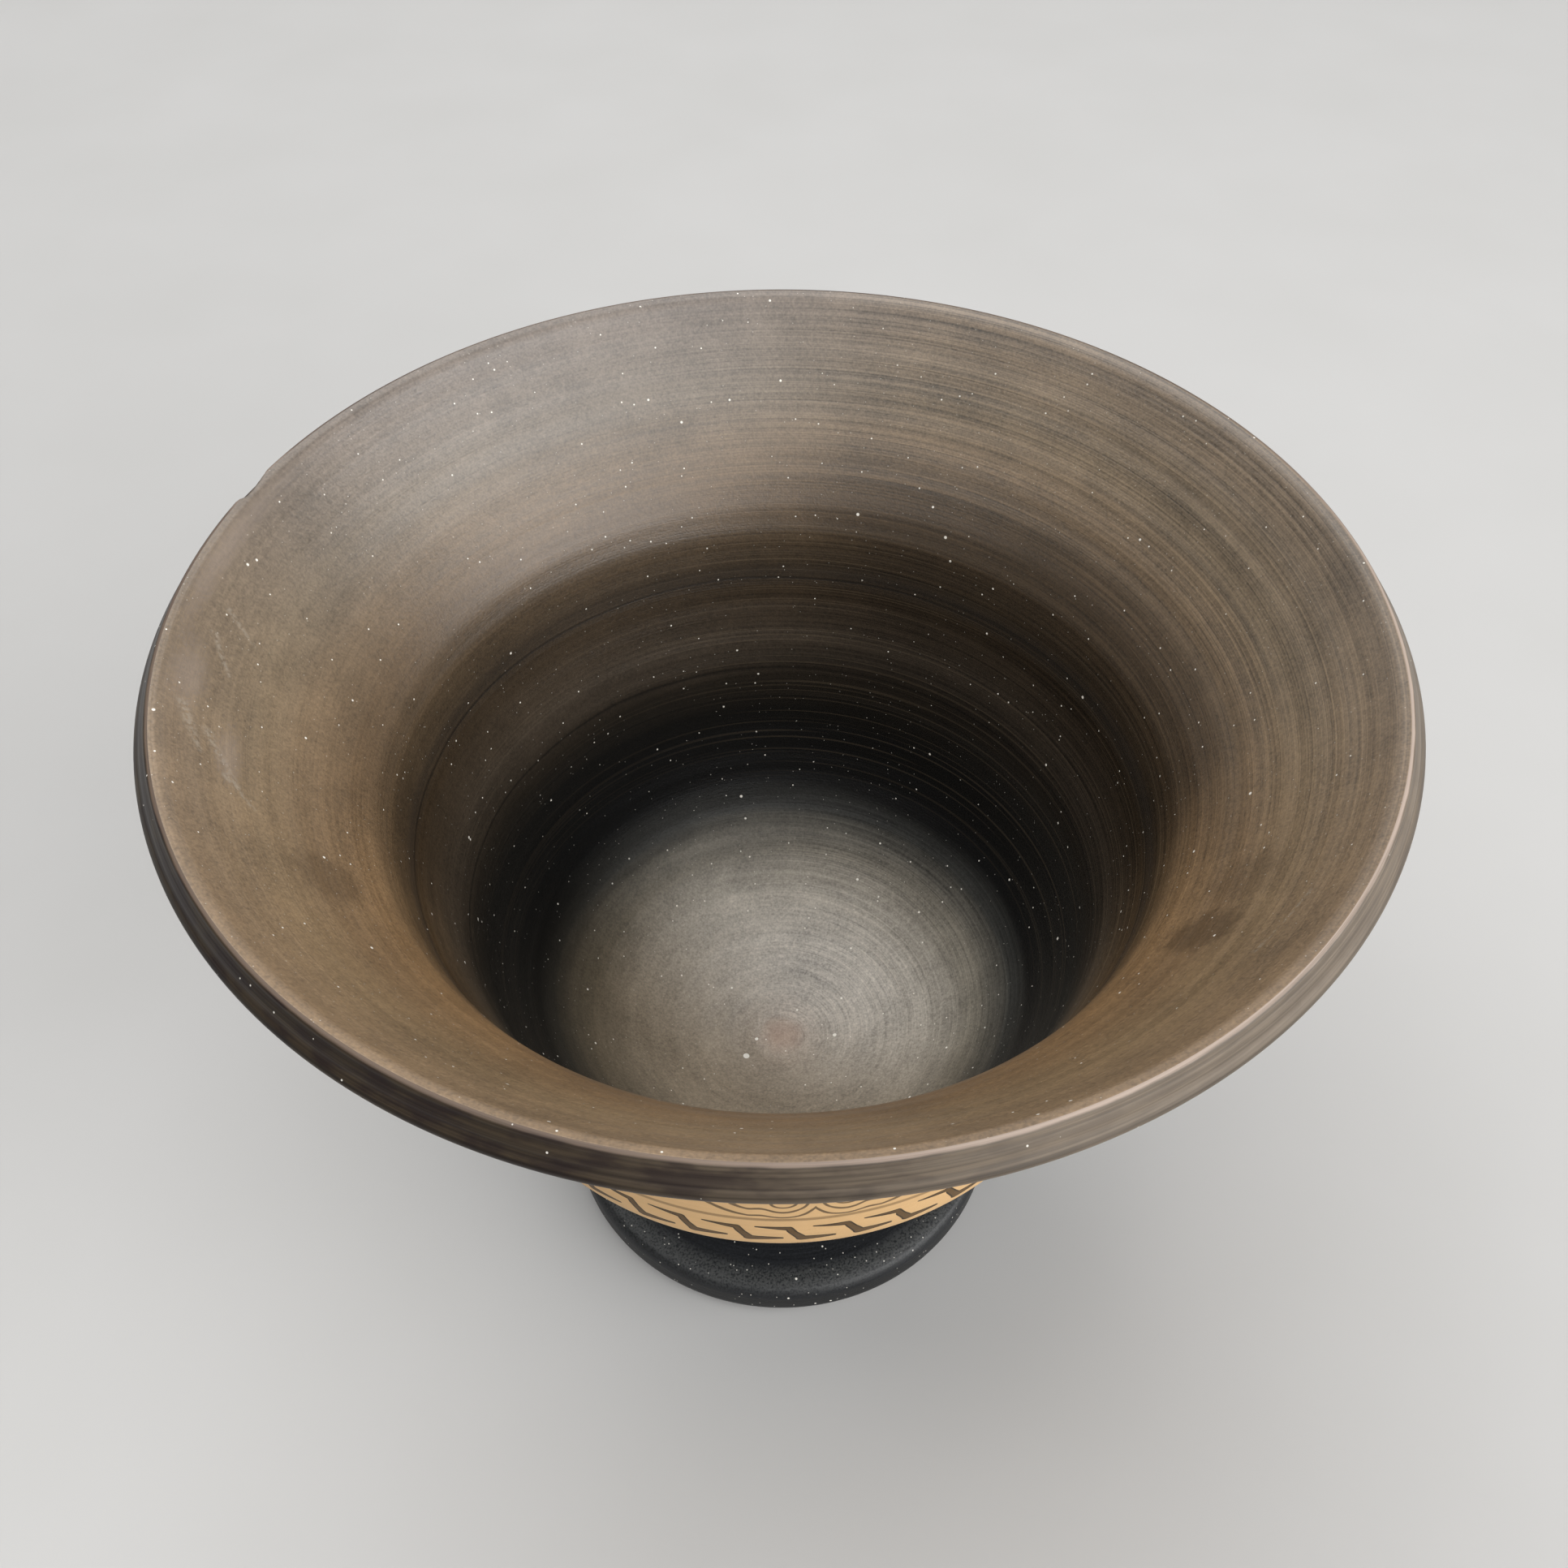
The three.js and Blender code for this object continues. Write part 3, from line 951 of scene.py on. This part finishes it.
def painted_outside():
    """The outside: buff clay left bare round the belly under its painted lines, and black slip
    above and below."""
    clay = Clay("painted_outside")
    wobble = clay.noise(clay.place(), 0.12, 1.0)
    other_wobble = clay.noise(clay.vector(clay.z, clay.x, clay.y), 0.1, 1.0)
    wobble_u, wobble_v = (wobble - 0.5) * 1.2, (other_wobble - 0.5) * 0.9
    fine = clay.streaks(2.4, 1.2, 2.0)
    grain = clay.noise(clay.place(), 1.4, 3.0)

    # Two thin lines close the picture zone, the scrolls stand in it and the key runs under it
    buff = clay.mix(fine.step(0.2, 0.8) * 0.4 + wobble * 0.6, BUFF_DARK, BUFF)
    for distance in (abs(clay.z - BAND_LINE + wobble_v * 0.3), abs(clay.z - CLOSING_LINE)):
        buff = clay.mix(distance.step(1.25, 0.55) * 0.78, buff, INK_THIN)
    scrolls = volutes(clay, wobble_u * 0.15, wobble_v * 0.15)
    picture = clay.z.between(BAND_LINE + 1.2, CLOSING_LINE - 1, 0.1)
    buff = clay.mix(scrolls.step(0.6, 0.32) * picture * 0.9, buff, INK_SCROLL)
    key = running_key(clay, wobble_u * 0.5, wobble_v * 0.5)
    on_border = clay.z.between(BORDER_BOTTOM, BAND_LINE, 0.1)
    ink = clay.mix(key.step(-0.25, -0.7), INK, INK_POOLED)
    buff = clay.mix(key.step(0.14, -0.1) * on_border, buff, ink)

    # Where the clay is left bare: all round the belly, but not in the panels behind the handles
    from_handle = abs(abs(clay.azimuth) - 90) * degree_at(BORDER_RADIUS)
    from_core = length((from_handle - PANEL_HALF_WIDTH).most(0), (PANEL_FOOT - clay.z).most(0))
    panel = from_core.step(PANEL_ROUND, PANEL_ROUND - 0.4)
    bare = (clay.z + wobble_v * 0.25).between(BORDER_BOTTOM, PICTURE_TOP, 0.12) * (1 - panel)

    # Black slip: browner up to the lip, with a ring of rubbed slip and painted highlight on the foot's edge,
    # and painted shade down its side
    streaked = fine.step(0.25, 0.75) * 0.5 + grain.step(0.4, 0.7) * 0.5
    black = clay.mix(streaked, SLIP_BLACK, BLACK_STREAK)
    brown = clay.z.step(PICTURE_TOP + 4, RIDGE_HEIGHT - 14)
    black = clay.mix(brown * 0.7, black, SLIP_DARK)
    # A ring on the foot's edge: partly rubbed slip, partly painted highlight
    rub_and_highlight = (clay.radius + wobble_v * 2).between(*RUB_AND_HIGHLIGHT_RADII, 2.5) * clay.z.between(*RUB_AND_HIGHLIGHT_HEIGHTS, 1.5)
    black = clay.mix(rub_and_highlight * grain.step(0.3, 0.6) * 0.75, black, FOOT_RUB_AND_HIGHLIGHT)
    # Painted shade down the foot's side
    black = clay.times(black, 1 - clay.z.step(*FOOT_SIDE_SHADE) * 0.8)
    specks = (clay.specks(7, 0.5) * clay.z.step(190, 150)).most(clay.specks(2.6, 0.27) * 0.75)
    black = clay.mix(specks * (1 - bare), black, SPECK_WHITE)
    colour = clay.mix(bare, black, buff)
    clay.bump(fine * 0.4 + grain * 0.6, 0.12)
    return clay.finish(colour, bare * 0.16 + fine * 0.12 + 0.40, BLACK_IOR)


def bare_clay():
    """The resting ring and the hollow under the foot: turned clay without slip."""
    clay = Clay("bare_clay")
    fine = clay.streaks(2.4, 1.2, 2.0)
    colour = clay.mix(fine.step(0.25, 0.75), BARE_DARK, BUFF)
    clay.bump(fine, 0.08)
    return clay.finish(colour, fine * 0.1 + 0.7)


def handle_slip():
    """The handles: black slip brushed over hand-rolled clay."""
    clay = Clay("handle_slip")
    grain = clay.noise(clay.place(), 0.35, 3.0)
    colour = clay.mix(grain.step(0.35, 0.65), SLIP_BLACK, HANDLE_STREAK)
    colour = clay.mix(clay.specks(9, 0.4) * 0.8, colour, SPECK_WHITE)
    clay.bump(grain, 0.25)
    return clay.finish(colour, grain * 0.12 + 0.36, BLACK_IOR)


# Camera, light and floor

def make_camera():
    """The camera at the photograph's place and angle."""
    pitch, yaw, roll = radians(CAMERA_PITCH), radians(CAMERA_YAW), radians(CAMERA_ROLL)
    forward = Vector((sin(yaw) * cos(pitch), cos(yaw) * cos(pitch), -sin(pitch)))
    level = Vector((cos(yaw), -sin(yaw), 0))
    upright = level.cross(forward)
    right = cos(roll) * level + sin(roll) * upright
    up = cos(roll) * upright - sin(roll) * level
    data = bpy.data.cameras.new("camera")
    data.lens = CAMERA_LENS
    data.sensor_width = CAMERA_SENSOR
    data.clip_start = CAMERA_NEAR
    camera = bpy.data.objects.new("camera", data)
    turned = Matrix((right, up, -forward)).transposed().to_4x4()
    camera.matrix_world = Matrix.Translation(CAMERA_PLACE) @ turned
    bpy.context.scene.collection.objects.link(camera)
    bpy.context.scene.camera = camera


def make_light(name, azimuth, elevation, size, radiance):
    """A soft panel that faces the vessel from an azimuth and elevation, with an even radiance."""
    data = bpy.data.lights.new(name, "AREA")
    data.shape = "RECTANGLE"
    data.size, data.size_y = size
    data.energy = radiance * pi * size[0] * size[1]
    light = bpy.data.objects.new(name, data)
    a, e = radians(azimuth), radians(elevation)
    towards = Vector((sin(a) * cos(e), -cos(a) * cos(e), sin(e)))
    light.location = towards * LIGHT_DISTANCE + Vector((0, 0, LIGHT_AIM_HEIGHT))
    light.rotation_euler = towards.to_track_quat("Z", "Y").to_euler()
    light.visible_camera = False
    bpy.context.scene.collection.objects.link(light)


def make_studio():
    """A background that only the camera sees, the light panels and a pale floor."""
    world = bpy.data.worlds.new("studio")
    world.use_nodes = True
    background = world.node_tree.nodes["Background"]
    background.inputs["Color"].default_value = BACKGROUND_COLOUR
    background.inputs["Strength"].default_value = BACKGROUND_STRENGTH
    world.cycles_visibility.diffuse = False
    world.cycles_visibility.glossy = False
    bpy.context.scene.world = world
    for name, panel in LIGHTS.items():
        make_light(name, *panel)

    half = FLOOR_HALF
    corners = [(-half, -half, 0), (half, -half, 0), (half, half, 0), (-half, half, 0)]
    floor = make_mesh("floor", corners, [(0, 1, 2, 3)])
    clay = Clay("pale_floor")
    soft = clay.noise(clay.place(), 0.01, 2.0)
    floor.data.materials.append(clay.finish(clay.mix(soft, *FLOOR_COLOURS), 0.9))
    bpy.context.scene.view_settings.view_transform = "Standard"


# Length of the inside's profile, along which its colours are set out
INSIDE_LENGTH = sum(
    np.linalg.norm(np.diff(section, axis=0), axis=1).sum()
    for zone, section in krater_profile() if zone in INSIDE
)

# The material of each zone of the profile
SURFACES = {
    "bowl": smoky_slip("smoky_slip_bowl", BOWL_IOR),
    "throat": smoky_slip("smoky_slip_throat", THROAT_IOR),
    "flare": smoky_slip("smoky_slip_flare", FLARE_IOR),
    "lip": lip_slip(),
    "outside": painted_outside(),
    "base": bare_clay(),
}

make_camera()
body = make_body()
for material in SURFACES.values():
    body.data.materials.append(material)
handle_material = handle_slip()
right_handle = make_handle("handle_right", 1)
left_handle = make_handle("handle_left", -1)
for handle in (right_handle, left_handle):
    handle.data.materials.append(handle_material)
for piece in (body, right_handle, left_handle):
    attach(piece, "root")
    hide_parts("krater")
make_studio()
